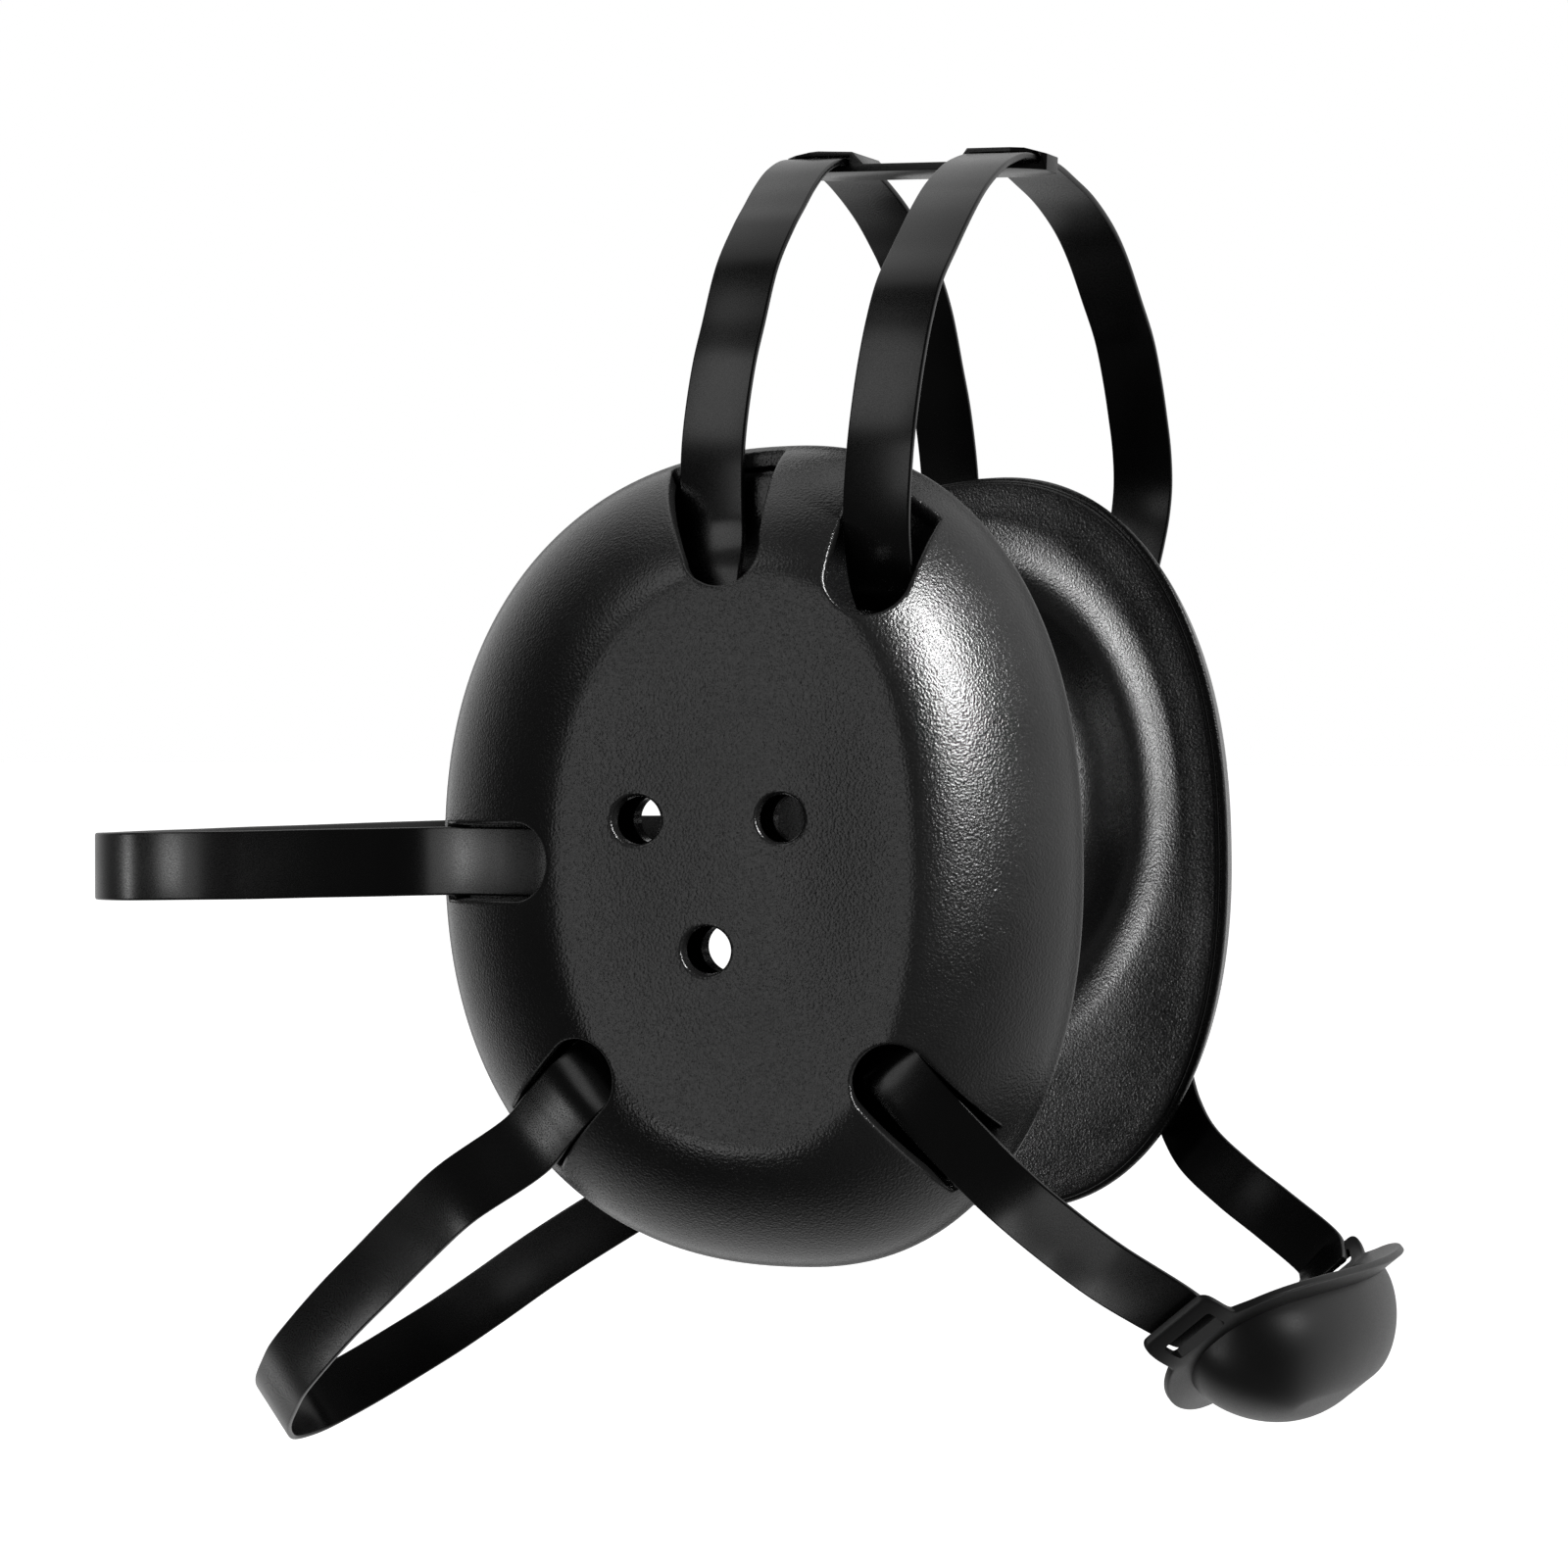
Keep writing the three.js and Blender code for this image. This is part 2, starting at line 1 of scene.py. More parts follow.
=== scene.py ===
# Wrestling ear guard: fine pieces, materials, light and camera. Lengths in the tables are in mm.
import math
import bmesh
import bpy
import numpy as np
from mathutils import Matrix, Vector
from mathutils.geometry import delaunay_2d_cdt


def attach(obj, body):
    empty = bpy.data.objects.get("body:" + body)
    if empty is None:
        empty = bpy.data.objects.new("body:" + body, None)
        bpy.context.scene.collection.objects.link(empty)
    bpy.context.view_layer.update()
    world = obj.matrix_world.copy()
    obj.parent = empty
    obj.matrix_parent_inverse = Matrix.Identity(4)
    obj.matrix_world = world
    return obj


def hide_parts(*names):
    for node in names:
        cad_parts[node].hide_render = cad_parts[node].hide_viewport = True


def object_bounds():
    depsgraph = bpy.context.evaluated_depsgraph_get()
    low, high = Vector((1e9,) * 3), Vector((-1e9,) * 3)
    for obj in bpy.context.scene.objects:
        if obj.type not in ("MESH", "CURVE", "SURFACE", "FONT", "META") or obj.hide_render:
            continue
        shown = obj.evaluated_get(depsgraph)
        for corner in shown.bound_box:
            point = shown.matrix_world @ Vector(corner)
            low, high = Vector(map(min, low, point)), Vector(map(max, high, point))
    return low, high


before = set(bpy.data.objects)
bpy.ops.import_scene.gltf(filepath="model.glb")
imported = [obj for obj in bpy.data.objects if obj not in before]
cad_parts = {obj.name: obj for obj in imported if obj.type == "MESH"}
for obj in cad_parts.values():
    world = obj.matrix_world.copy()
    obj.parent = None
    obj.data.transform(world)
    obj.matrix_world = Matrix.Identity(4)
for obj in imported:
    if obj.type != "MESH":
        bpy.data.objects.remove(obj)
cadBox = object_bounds()
seat = np.array([2.8, 0.0, 104.7])

# Camera: eye in metres, turn and dip in degrees, lens in mm
view = dict(eye=(0.2395, -0.5603, -0.0879), turn=25.14, dip=0.62, lens=90.0)
camData = bpy.data.cameras.new("camera")
camData.lens = view["lens"]
camData.sensor_width = 36.0
camera = bpy.data.objects.new("camera", camData)
camera.location = view["eye"]
turn, dip = math.radians(view["turn"]), math.radians(view["dip"])
ahead = Vector((-math.sin(turn) * math.cos(dip), math.cos(turn) * math.cos(dip), -math.sin(dip)))
right = Vector((math.cos(turn), math.sin(turn), 0))
above = right.cross(ahead)
camera.rotation_euler = Matrix((right, above, -ahead)).transposed().to_euler()
bpy.context.scene.collection.objects.link(camera)
bpy.context.scene.camera = camera


# Materials
def addGroup(name, inputs, outputs):
    group = bpy.data.node_groups.new(name, "ShaderNodeTree")
    for label, kind, value in inputs:
        group.interface.new_socket(name=label, in_out="INPUT", socket_type=kind).default_value = value
    for label, kind in outputs:
        group.interface.new_socket(name=label, in_out="OUTPUT", socket_type=kind)
    return group


def addNode(tree, kind, inputs=None, **settings):
    node = tree.nodes.new(kind)
    for key, value in settings.items():
        setattr(node, key, value)
    for key, value in (inputs or {}).items():
        if isinstance(value, bpy.types.NodeSocket):
            tree.links.new(value, node.inputs[key])
        else:
            node.inputs[key].default_value = value
    return node


# grain: small pebbles over a finer noise, which also roughens the hollows between them
grain = addGroup("fineGrain", [
    ("Colour", "NodeSocketColor", (0.02, 0.02, 0.021, 1)),
    ("Roughness", "NodeSocketFloat", 0.4),
    ("Cells", "NodeSocketFloat", 2600.0),
    ("Depth", "NodeSocketFloat", 0.5),
    ("Height", "NodeSocketFloat", 0.00004),
], [("Colour", "NodeSocketColor"), ("Roughness", "NodeSocketFloat"), ("Normal", "NodeSocketVector")])
source = addNode(grain, "NodeGroupInput")
place = addNode(grain, "ShaderNodeTexCoord").outputs["Object"]
cells = addNode(grain, "ShaderNodeTexVoronoi", {"Vector": place, "Scale": source.outputs["Cells"]},
                feature="SMOOTH_F1")
fine = addNode(grain, "ShaderNodeTexNoise", {"Vector": place, "Scale": source.outputs["Cells"],
                                              "Detail": 3.0, "Roughness": 0.6})
broad = addNode(grain, "ShaderNodeTexNoise", {"Vector": place, "Scale": 55.0, "Detail": 4.0})
height = addNode(grain, "ShaderNodeMath", {0: cells.outputs["Distance"], 1: fine.outputs["Fac"]},
                 operation="SUBTRACT")
bump = addNode(grain, "ShaderNodeBump", {"Strength": source.outputs["Depth"],
                                         "Distance": source.outputs["Height"],
                                         "Height": height.outputs[0]})
rough = addNode(grain, "ShaderNodeMapRange", {"Value": broad.outputs["Fac"], "From Min": 0.3,
                                              "From Max": 0.7, "To Min": -0.04, "To Max": 0.04})
pits = addNode(grain, "ShaderNodeMapRange", {"Value": fine.outputs["Fac"], "From Min": 0.35,
                                             "From Max": 0.65, "To Min": -0.05, "To Max": 0.05})
uneven = addNode(grain, "ShaderNodeMath", {0: rough.outputs[0], 1: pits.outputs[0]}, operation="ADD")
total = addNode(grain, "ShaderNodeMath", {0: uneven.outputs[0], 1: source.outputs["Roughness"]},
                operation="ADD")
shade = addNode(grain, "ShaderNodeMapRange", {"Value": broad.outputs["Fac"], "From Min": 0.3,
                                              "From Max": 0.7, "To Min": 0.85, "To Max": 1.15})
tone = addNode(grain, "ShaderNodeVectorMath", {0: source.outputs["Colour"], "Scale": shade.outputs[0]},
               operation="SCALE")
addNode(grain, "NodeGroupOutput", {"Colour": tone.outputs[0], "Roughness": total.outputs[0],
                                   "Normal": bump.outputs["Normal"]})


def makeMaterial(name, colour, roughness, cells, depth, height):
    material = bpy.data.materials.new(name)
    material.use_nodes = True
    tree = material.node_tree
    shader = tree.nodes["Principled BSDF"]
    group = addNode(tree, "ShaderNodeGroup", node_tree=grain)
    values = {"Colour": (*colour, 1), "Roughness": roughness, "Cells": cells, "Depth": depth,
              "Height": height}
    for key, value in values.items():
        group.inputs[key].default_value = value
    for key, target in (("Colour", "Base Color"), ("Roughness", "Roughness"), ("Normal", "Normal")):
        tree.links.new(group.outputs[key], shader.inputs[target])
    return material


shellLeather = makeMaterial("shellLeather", (0.006, 0.006, 0.006), 0.23, 2700, 0.9, 0.00006)
padLeather = makeMaterial("padLeather", (0.004, 0.004, 0.0042), 0.24, 2700, 0.8, 0.00003)
strapRubber = makeMaterial("strapRubber", (0.003, 0.003, 0.003), 0.27, 5200, 0.1, 0.00001)
chinRubber = makeMaterial("chinRubber", (0.012, 0.012, 0.012), 0.4, 4600, 0.2, 0.00002)
bridgePlastic = makeMaterial("bridgePlastic", (0.006, 0.006, 0.006), 0.3, 4200, 0.12, 0.00002)


# Mesh helpers
def addPiece(name, points, faces, material, slot, node, sharp=None):
    mesh = bpy.data.meshes.new(name)
    mesh.from_pydata(((points - seat) * 0.001).tolist(), [], faces)
    mesh.validate()
    mesh.materials.append(material)
    mesh.shade_smooth()
    if sharp:
        mesh.set_sharp_from_angle(angle=math.radians(sharp))
    piece = bpy.data.objects.new(name, mesh)
    bpy.context.scene.collection.objects.link(piece)
    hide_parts(node)
    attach(piece, "root")
    return piece


def mirrored(points, faces):
    # the same piece on the other side of the head, its faces turned back outward
    return points * np.array([1.0, -1.0, 1.0]), [list(face)[::-1] for face in faces]


def loopFaces(rows, cols, start=0):
    # quads between closed rows of points, one after another
    r, c = np.meshgrid(np.arange(rows - 1), np.arange(cols), indexing="ij")
    a, b = r * cols + c, r * cols + (c + 1) % cols
    return start + np.stack([a, b, b + cols, a + cols], -1).reshape(-1, 4)


def closedSkin(rows):
    # closed skin over rows of equal count, with a fan at each end; faces look outward
    count, cols = rows.shape[:2]
    points = np.concatenate([rows.reshape(-1, 3), rows[:1].mean(1), rows[-1:].mean(1)])
    faces = loopFaces(count, cols).tolist()
    first, last = count * cols, count * cols + 1
    base = (count - 1) * cols
    faces += [[first, (i + 1) % cols, i] for i in range(cols)]
    faces += [[last, base + i, base + (i + 1) % cols] for i in range(cols)]
    tri = np.array([[f[0], f[k], f[k + 1]] for f in faces for k in range(1, len(f) - 1)])
    a, b, c = points[tri[:, 0]], points[tri[:, 1]], points[tri[:, 2]]
    if np.einsum("ij,ij->i", a, np.cross(b, c)).sum() < 0:
        faces = [face[::-1] for face in faces]
    return points, faces


def spline(knots, shares):
    # centripetal Catmull-Rom through the knots, each span an equal share of the whole
    knots = np.asarray(knots, float)
    full = np.vstack([2 * knots[0] - knots[1], knots, 2 * knots[-1] - knots[-2]])
    spot = np.clip(shares, 0, 1) * (len(knots) - 1)
    index = np.minimum(spot.astype(int), len(knots) - 2)
    w = (spot - index)[:, None]
    x0, x1, x2, x3 = (full[index + k] for k in range(4))
    d0, d1, d2 = (np.maximum(((q - p) ** 2).sum(1), 1e-8)[:, None] ** 0.25
                  for p, q in ((x0, x1), (x1, x2), (x2, x3)))
    t1 = ((x1 - x0) / d0 - (x2 - x0) / (d0 + d1) + (x2 - x1) / d1) * d1
    t2 = ((x2 - x1) / d1 - (x3 - x1) / (d1 + d2) + (x3 - x2) / d2) * d1
    return x1 + t1 * w + (3 * (x2 - x1) - 2 * t1 - t2) * w ** 2 + (2 * (x1 - x2) + t1 + t2) * w ** 3


def unit(v):
    return v / np.linalg.norm(v, axis=-1, keepdims=True)


def roundedBox(halfAcross, halfAlong, corner, steps):
    # rectangle with round corners, one quarter turn of points for each corner
    turns = np.linspace(0, math.pi / 2, steps)
    spots = []
    for a, b, start in ((1, 1, 0), (-1, 1, 1), (-1, -1, 2), (1, -1, 3)):
        angle = start * math.pi / 2 + turns
        spots.append(np.stack([a * (halfAcross - corner) + corner * np.cos(angle),
                               b * (halfAlong - corner) + corner * np.sin(angle)], -1))
    return np.vstack(spots)


def cutWith(body, points, faces):
    # the body less a closed tool
    mesh = bpy.data.meshes.new("tool")
    mesh.from_pydata(points.tolist(), [], faces)
    tool = bpy.data.objects.new("tool", mesh)
    bpy.context.scene.collection.objects.link(tool)
    cutter = body.modifiers.new("cut", "BOOLEAN")
    cutter.object = tool
    cutter.operation = "DIFFERENCE"
    cutter.solver = "EXACT"
    evaluated = body.evaluated_get(bpy.context.evaluated_depsgraph_get())
    result = bpy.data.meshes.new_from_object(evaluated)
    body.modifiers.clear()
    body.data = result
    bpy.data.objects.remove(tool)


# Frame and outlines of the right ear cup; the left one is its mirror image
# turns are in degrees; the slots' places are shares of the cup's half height, their bars of its depth
cup = dict(half=60.0, front=42.4, rear=54.7, power=2.26, depth=22.9, round=19.5, domePower=1.45, dish=1.6,
           wall=2.4, rimBack=1.0, spread=78.7, toeIn=9.8, lean=0.75, roll=-1.04, lip=1.0, lipOut=0.35,
           lipSpot=1.0, lipSpan=1.1, edge=0.55, innerEdge=0.4)
toe, lean, roll = (math.radians(cup[key]) for key in ("toeIn", "lean", "roll"))
cupOut = np.array([math.sin(toe) * math.cos(lean), -math.cos(toe) * math.cos(lean), math.sin(lean)])
flatForward = np.array([math.cos(toe), math.sin(toe), 0.0])
flatUp = -np.cross(cupOut, flatForward)
flatUp = flatUp if flatUp[2] > 0 else -flatUp
cupForward = flatForward * math.cos(roll) - flatUp * math.sin(roll)
cupUp = flatForward * math.sin(roll) + flatUp * math.cos(roll)
cupMiddle = np.array([0.0, -cup["spread"] / 2, 0.0])


def inCup(local):
    # from the right cup's own frame to the frame of the part
    return cupMiddle + local[..., :1] * cupForward + local[..., 1:2] * cupUp + local[..., 2:3] * cupOut


def oval(angle, front, rear, half, power):
    # superellipse: |u / front or rear| to the power, plus |v / half| to the power, is 1 on the outline
    c, s = np.cos(angle), np.sin(angle)
    reach = (np.abs(c) ** power + np.abs(s) ** power) ** (-1 / power)
    return np.where(c > 0, front, rear) * c * reach, half * s * reach


slots = {
    "crownRear": dict(u=-0.083, v=0.738, headU=-0.28, headV=1.0, bar=0.08, flare=0.2),
    "crownFront": dict(u=0.27, v=0.662, headU=0.17, headV=1.0, bar=0.3, flare=0.05),
    "back": dict(u=-0.618, v=-0.003, headU=-1.0, headV=0.0, bar=0.13, flare=0.0),
    "nape": dict(u=-0.458, v=-0.52, headU=-0.757, headV=-0.654, bar=0.26, flare=0.0),
    "chin": dict(u=0.318, v=-0.53, headU=0.6, headV=-0.8, bar=0.28, flare=0.0),
}
slotWidth = 11.2
holes = dict(radius=3.5, middle=-7.2, reach=10.5, spots=((-1, 0.54), (1, 0.54), (-0.05, -1.24)), points=48,
             levels=(-20.0, 5.0, 30.0))


# Ear shells
# A dome is drawn on a flat sheet whose radius is the way from its middle along the surface. The slots and
# holes are laid out there, the sheet is meshed, and then lifted to the outer and the inner skin.
domeRise = np.sin(np.linspace(0, math.pi / 2, 400))[::-1]


def domeInset(rise, turnIn):
    # how far the flank leans in at a share of the rise, a quarter of a superellipse
    return turnIn * (1 - np.maximum(0, 1 - rise ** cup["domePower"]) ** (1 / cup["domePower"]))


flankInset = domeInset(domeRise, cup["round"])
flankHeight = -cup["rimBack"] + domeRise * (cup["depth"] + cup["rimBack"])
flankWay = np.concatenate([[0], np.cumsum(np.hypot(np.diff(flankInset), np.diff(flankHeight)))])
flankLength = flankWay[-1]
turnTable = np.linspace(-math.pi, math.pi, 1441)
edgeU, edgeV = oval(turnTable, cup["front"], cup["rear"], cup["half"], cup["power"])
sheetTurn = np.unwrap(np.arctan2(edgeV, edgeU))
dishU = edgeU * (1 - cup["round"] / cup["front"])
dishV = edgeV * (1 - cup["round"] / cup["half"])
dishReach = np.hypot(dishU, dishV)


def toSheet(u, v):
    # flat sheet point over a point of the plan
    lowInset, highInset = np.zeros_like(u), np.full_like(u, cup["round"])
    reachU = np.where(u > 0, cup["front"], cup["rear"])

    def fill(inset):
        partU = np.abs(u) / (reachU * (1 - inset / cup["front"]))
        partV = np.abs(v) / (cup["half"] * (1 - inset / cup["half"]))
        return (partU ** cup["power"] + partV ** cup["power"]) ** (1 / cup["power"])

    share = np.minimum(fill(highInset), 1.0)
    for _ in range(40):
        middle = (lowInset + highInset) / 2
        inside = fill(middle) < 1
        lowInset, highInset = np.where(inside, middle, lowInset), np.where(inside, highInset, middle)
    inset = np.where(share < 1, cup["round"], lowInset)
    angle = np.arctan2(v / (cup["half"] - inset), u / (reachU * (1 - inset / cup["front"])))
    way = np.interp(-inset, -flankInset, flankWay)
    reach = np.interp(angle, turnTable, dishReach) * share + np.where(share < 1, 0, way)
    turned = np.interp(angle, turnTable, sheetTurn)
    return np.stack([reach * np.cos(turned), reach * np.sin(turned)], -1)


def planHeight(u, v):
    # height of the outer skin over a point of the plan, for finding where a slot meets its bar
    return liftSheet(toSheet(u, v), 0.0)[:, 2]


def liftSheet(flat, wall):
    # point of the skin for a sheet point: the dish inside, the rounded flank outside
    turned = np.arctan2(flat[:, 1], flat[:, 0])
    angle = np.interp(turned, sheetTurn, turnTable)
    reach = np.hypot(flat[:, 0], flat[:, 1])
    rim = np.interp(angle, turnTable, dishReach)
    share = np.minimum(reach / rim, 1.0)
    way = np.clip(reach - rim, 0, flankLength)
    rise = np.interp(way, flankWay, domeRise)
    turnIn = cup["round"] - wall * 0.8
    inset = np.where(share < 1, turnIn, domeInset(rise, turnIn))
    u, v = oval(angle, cup["front"] - wall, cup["rear"] - wall, cup["half"] - wall, cup["power"])
    u = u * (1 - inset / (cup["front"] - wall)) * share
    v = v * (1 - inset / (cup["half"] - wall)) * share
    top = cup["depth"] - wall
    h = np.where(share < 1, top - cup["dish"] * (1 - share ** 2) ** 2,
                 -cup["rimBack"] + rise * (top + cup["rimBack"]))
    return np.stack([u, v, h], -1)


def resample(loop, step):
    # the closed outline again, with points one step apart along it
    closed = np.vstack([loop, loop[:1]])
    way = np.concatenate([[0], np.cumsum(np.linalg.norm(np.diff(closed, axis=0), axis=1))])
    count = max(12, int(way[-1] / step))
    spots = np.linspace(0, way[-1], count, endpoint=False)
    return np.stack([np.interp(spots, way, closed[:, 0]), np.interp(spots, way, closed[:, 1])], -1)


def slotHeading(slot):
    return unit(np.array([slot["headU"], slot["headV"]]))


def slotOutline(slot):
    # round inner end, straight sides out to the bar, and back along the bar
    heading = slotHeading(slot)
    side = np.array([-heading[1], heading[0]])
    middle = np.array([slot["u"], slot["v"]]) * cup["half"]
    half = slotWidth / 2
    turns = np.linspace(0, math.pi, 41)[:, None]
    arc = middle + side * np.cos(turns) * half - heading * np.sin(turns) * half
    ends = []
    for hand in (1, -1):
        far = middle + side * hand * (half + slot["flare"] * cup["half"]) + heading * cup["half"]
        near = middle + side * hand * half
        line = near + (far - near) * np.linspace(0, 1, 600)[:, None]
        reachU = np.where(line[:, 0] > 0, cup["front"], cup["rear"])
        partU, partV = np.abs(line[:, 0]) / reachU, np.abs(line[:, 1]) / cup["half"]
        inside = partU ** cup["power"] + partV ** cup["power"] < 0.9999
        line = line[:np.argmin(inside)] if not inside.all() else line
        tall = planHeight(line[:, 0], line[:, 1]) > slot["bar"] * cup["depth"]
        ends.append(toSheet(*line[:np.argmin(tall)].T) if not tall.all() else toSheet(*line.T))
    plus, minus = ends
    a, b = plus[-1], minus[-1]
    ta, tb = math.atan2(a[1], a[0]), math.atan2(b[1], b[0])
    tb = ta + (tb - ta + math.pi) % (2 * math.pi) - math.pi
    turned = np.linspace(ta, tb, 40)[1:-1]
    radii = np.linspace(np.hypot(*a), np.hypot(*b), 40)[1:-1]
    bar = np.stack([radii * np.cos(turned), radii * np.sin(turned)], -1)
    return np.vstack([toSheet(*arc.T), minus[1:], bar[::-1], plus[:0:-1]])


def holeOutline(spot):
    # circle of the plan, laid on the sheet
    turns = np.linspace(0, 2 * math.pi, holes["points"], endpoint=False)
    return toSheet(holes["middle"] + spot[0] * holes["reach"] + holes["radius"] * np.cos(turns),
                   spot[1] * holes["reach"] + holes["radius"] * np.sin(turns))


def awayFrom(points, loop):
    # distance of points from a closed outline, below zero inside it
    a, b = loop, np.roll(loop, -1, 0)
    edge = b - a
    best = np.full(len(points), 1e9)
    crossed = np.zeros(len(points), bool)
    batch = 4000
    for start in range(0, len(points), batch):
        p = points[start:start + batch, None]
        share = np.clip(((p - a) * edge).sum(-1) / (edge ** 2).sum(-1), 0, 1)
        gapTo = np.linalg.norm(p - a - share[..., None] * edge, axis=-1)
        best[start:start + batch] = gapTo.min(1)
        over = (a[:, 1] > p[..., 1]) != (b[:, 1] > p[..., 1])
        x = a[:, 0] + (p[..., 1] - a[:, 1]) / np.where(edge[:, 1] == 0, 1e-9, edge[:, 1]) * edge[:, 0]
        crossed[start:start + batch] = ((over & (p[..., 0] < x)).sum(1) % 2) == 1
    return np.where(crossed, -best, best)


def offsetLoop(loop, amount):
    # each point moved outward along the outline's normal
    tangent = unit(np.roll(loop, -1, 0) - np.roll(loop, 1, 0))
    normal = np.stack([tangent[:, 1], -tangent[:, 0]], -1)
    area = (loop[:, 0] * np.roll(loop[:, 1], -1) - np.roll(loop[:, 0], -1) * loop[:, 1]).sum()
    return loop + normal * (amount if area > 0 else -amount)


# point spacings in mm along the cuts and over the sheet, ways from a cut or the rim of the rows of points
# beside it, and the room kept clear of grid points there
mesher = dict(slotStep=0.55, holeStep=0.5, rimPoints=300, pitch=1.25, cutRows=(0.09, 0.22, 0.4, 0.65, 1.1),
              rimRows=(0.15, 0.35, 0.6, 0.95, 1.4, 1.9, 2.6), cutRoom=1.6, rimRoom=3.0, rowRoom=0.07)
cuts = [resample(slotOutline(slot), mesher["slotStep"]) for slot in slots.values()]
cuts += [resample(holeOutline(spot), mesher["holeStep"]) for spot in holes["spots"]]
rimTurns = np.linspace(-math.pi, math.pi, mesher["rimPoints"], endpoint=False)
rimReach = np.interp(np.interp(rimTurns, sheetTurn, turnTable), turnTable, dishReach) + flankLength
rimLoop = np.stack([rimReach * np.cos(rimTurns), rimReach * np.sin(rimTurns)], -1)
sheet = [rimLoop, *cuts]
borders = []
startAt = 0
# each outline's points follow one another in the list, so their borders are pairs of numbers
for loop in sheet:
    borders += [(startAt + i, startAt + (i + 1) % len(loop)) for i in range(len(loop))]
    startAt += len(loop)


def fromCuts(points):
    return np.min([awayFrom(points, loop) for loop in cuts], axis=0)


# the grid's rows are 0.866 of the pitch apart, which makes its triangles even
gridX, gridY = np.meshgrid(np.arange(-90, 90, mesher["pitch"]), np.arange(-95, 95, mesher["pitch"] * 0.866))
gridX = gridX + (np.arange(gridX.shape[0]) % 2)[:, None] * mesher["pitch"] / 2
grid = np.stack([gridX.ravel(), gridY.ravel()], -1)
grid = grid[(fromCuts(grid) > mesher["cutRoom"]) & (-awayFrom(grid, rimLoop) > mesher["rimRoom"])]
near = [offsetLoop(loop, way) for loop in cuts for way in mesher["cutRows"]]
near += [rimLoop * (1 - way / rimReach[:, None]) for way in mesher["rimRows"]]
near = np.vstack(near)
near = near[np.minimum(fromCuts(near), -awayFrom(near, rimLoop)) > mesher["rowRoom"]]
flat = np.vstack([*sheet, near, grid])
made = delaunay_2d_cdt([Vector(p) for p in flat.tolist()], borders, [], 0, 1e-5)
flat = np.array([tuple(v) for v in made[0]])
triangles = np.array([face for face in made[2] if len(face) == 3])
centres = flat[triangles].mean(1)
triangles = triangles[(awayFrom(centres, rimLoop) < 0) & (fromCuts(centres) > 0)]
used = np.unique(triangles)
renumber = np.full(len(flat), -1)
renumber[used] = np.arange(len(used))
flat, triangles = flat[used], renumber[triangles]
first, second, third = (flat[triangles[:, k]] for k in range(3))
spin = np.cross(second - first, third - first)
triangles[spin < 0] = triangles[spin < 0][:, ::-1]
print("shell sheet:", len(flat), "points", len(triangles), "triangles")


def skinNormals(points, faces):
    normal = np.cross(points[faces[:, 1]] - points[faces[:, 0]], points[faces[:, 2]] - points[faces[:, 0]])
    total = np.zeros_like(points)
    for k in range(3):
        np.add.at(total, faces[:, k], normal)
    return unit(total)


outer, inner = liftSheet(flat, 0.0), liftSheet(flat, cup["wall"])
outerNormal, innerNormal = skinNormals(outer, triangles), skinNormals(inner, triangles)
fromCut = np.min([np.abs(awayFrom(flat, loop)) for loop in cuts], axis=0)
fromRim = np.abs(awayFrom(flat, rimLoop))


def rounding(distance, radius):
    # how far a skin drops near an edge so that the edge is a quarter round
    short = np.clip(radius - distance, 0, radius)
    return radius - np.sqrt(np.maximum(radius ** 2 - short ** 2, 0))


lipSwell = cup["lipOut"] * np.exp(-((fromRim - cup["lipSpot"]) / cup["lipSpan"]) ** 2)
outerDrop = rounding(fromCut, cup["edge"]) + rounding(fromRim, cup["lip"])
outer = outer + outerNormal * (lipSwell - outerDrop)[:, None]
inner = inner + innerNormal * rounding(fromCut, cup["innerEdge"])[:, None]
edges = np.sort(np.concatenate([triangles[:, [0, 1]], triangles[:, [1, 2]], triangles[:, [2, 0]]]), axis=1)
pairs, counts = np.unique(edges, axis=0, return_counts=True)
border = {tuple(pair) for pair in pairs[counts == 1].tolist()}
walls = []
count = len(flat)
for a, b in np.concatenate([triangles[:, [0, 1]], triangles[:, [1, 2]], triangles[:, [2, 0]]]).tolist():
    if (min(a, b), max(a, b)) in border:
        walls.append([b, a, a + count, b + count])
shellPoints = inCup(np.vstack([outer, inner]))
shellFaces = triangles.tolist() + (triangles[:, ::-1] + count).tolist() + walls
addPiece("shellRight", shellPoints, shellFaces, shellLeather, "ear_shell", "ear_shell_right", 50)
addPiece("shellLeft", *mirrored(shellPoints, shellFaces), shellLeather, "ear_shell", "ear_shell_left", 50)
print("shells done")


# Ear pads: closed rings of points from the hidden back round to the pocket floor
pad = dict(flange=2.8, proud=1.4, skin=2.6, cover=0.5, width=65.0, height=77.0, back=5.5, lift=7.5,
           depth=11.0, wall=3.0, room=0.3, cols=180, rows=130)
padTurns = np.linspace(0, 2 * math.pi, pad["cols"], endpoint=False)


def padRing(inset, height):
    # the cup's inner outline, drawn in by the inset
    less = cup["wall"] + pad["room"] + inset
    u, v = oval(padTurns, cup["front"] - less, cup["rear"] - less, cup["half"] - less, cup["power"])
    return np.stack([u, v, np.full_like(u, height)], -1)


def pocketRing(grow, height):
    # the ear pocket's ellipse, grown by a margin
    u, v = oval(padTurns, pad["width"] / 2 + grow, pad["width"] / 2 + grow, pad["height"] / 2 + grow, 2)
    return np.stack([u - pad["back"], v + pad["lift"], np.full_like(u, height)], -1)


